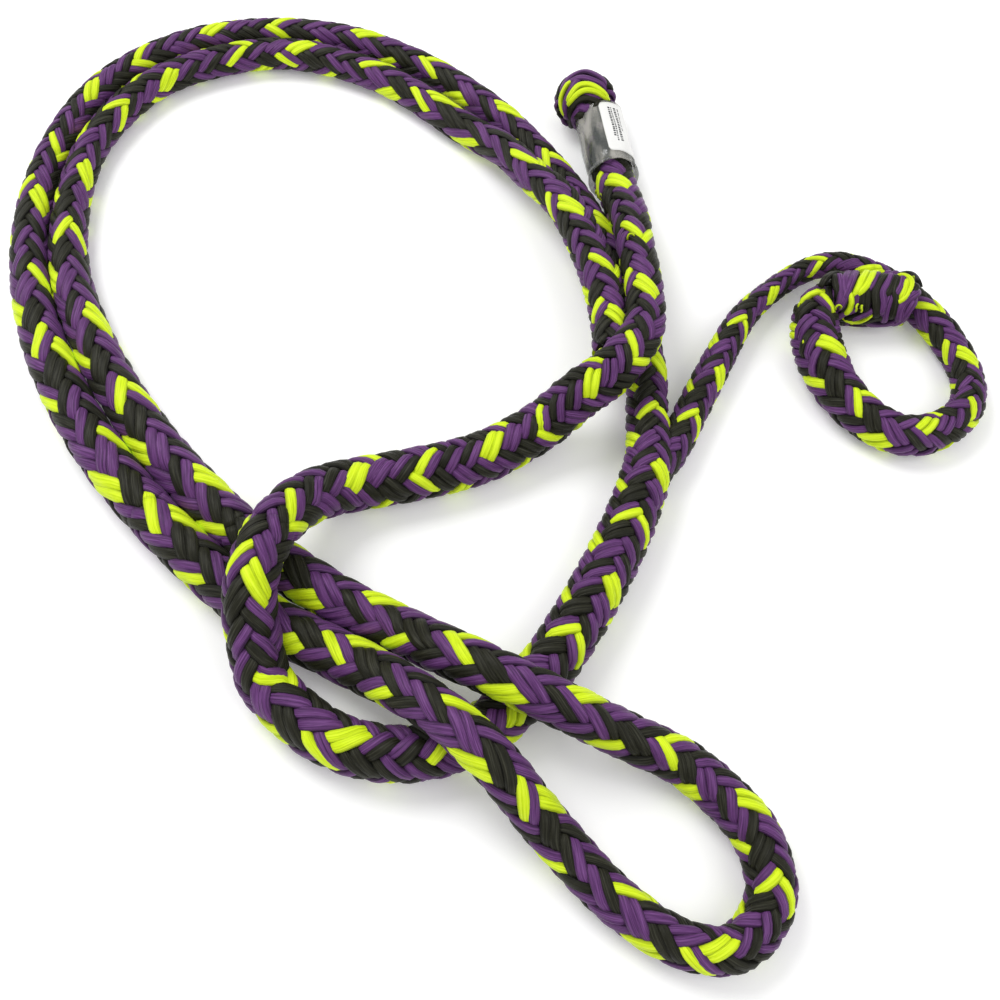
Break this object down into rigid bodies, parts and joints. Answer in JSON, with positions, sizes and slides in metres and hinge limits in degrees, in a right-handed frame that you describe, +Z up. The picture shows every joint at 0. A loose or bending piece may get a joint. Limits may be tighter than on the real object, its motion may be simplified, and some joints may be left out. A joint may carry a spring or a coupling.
{
  "type": "rope tow loop",
  "caption": "Hand-plaited rope tow loop laid flat: knotted end under a clear sleeve, adjustable closed loop and a thin lead with an eye.",
  "frame": {"origin": "middle of the laid-out rope's outline, on the surface it lies on", "axes": "+Z up from the surface, +Y from the bight to the top of the arc, +X towards the eye"},
  "size_m": [0.4993, 0.5343, 0.0467],
  "materials": {
    "purple_yarn": "soft sheen",
    "black_yarn": "soft sheen",
    "lime_yarn": "soft sheen",
    "clear_film": "milky, wrinkled",
    "label_film": "matt white"
  },
  "bodies": {
    "root": {"knot_middle": "black_yarn", "knot_end_turn": "purple_yarn", "knot_lime_turn": "lime_yarn", "knot_black_turn": "black_yarn", "knot_tails": "purple_yarn", "clear_sleeve": "clear_film", "label": "label_film", "sleeve_rope": "black_yarn", "sleeve_stitches": "lime_yarn", "upper_run": "purple_yarn", "crossing_run": "purple_yarn", "closed_loop": "purple_yarn", "under_run": "purple_yarn", "return_run": "purple_yarn", "outer_arc_right": "purple_yarn", "outer_arc_left": "purple_yarn", "outer_diagonal": "purple_yarn", "bight": "purple_yarn", "inner_diagonal": "purple_yarn", "inner_arc_left": "purple_yarn", "inner_arc_right": "purple_yarn", "run_stitch": "lime_yarn", "lead": "purple_yarn", "eye_ring": "purple_yarn", "eye_knot_middle": "black_yarn", "eye_purple_turns": "purple_yarn", "eye_black_turns": "black_yarn", "eye_lime_turns": "lime_yarn", "eye_stitches": "lime_yarn"}
  },
  "joints": []
}
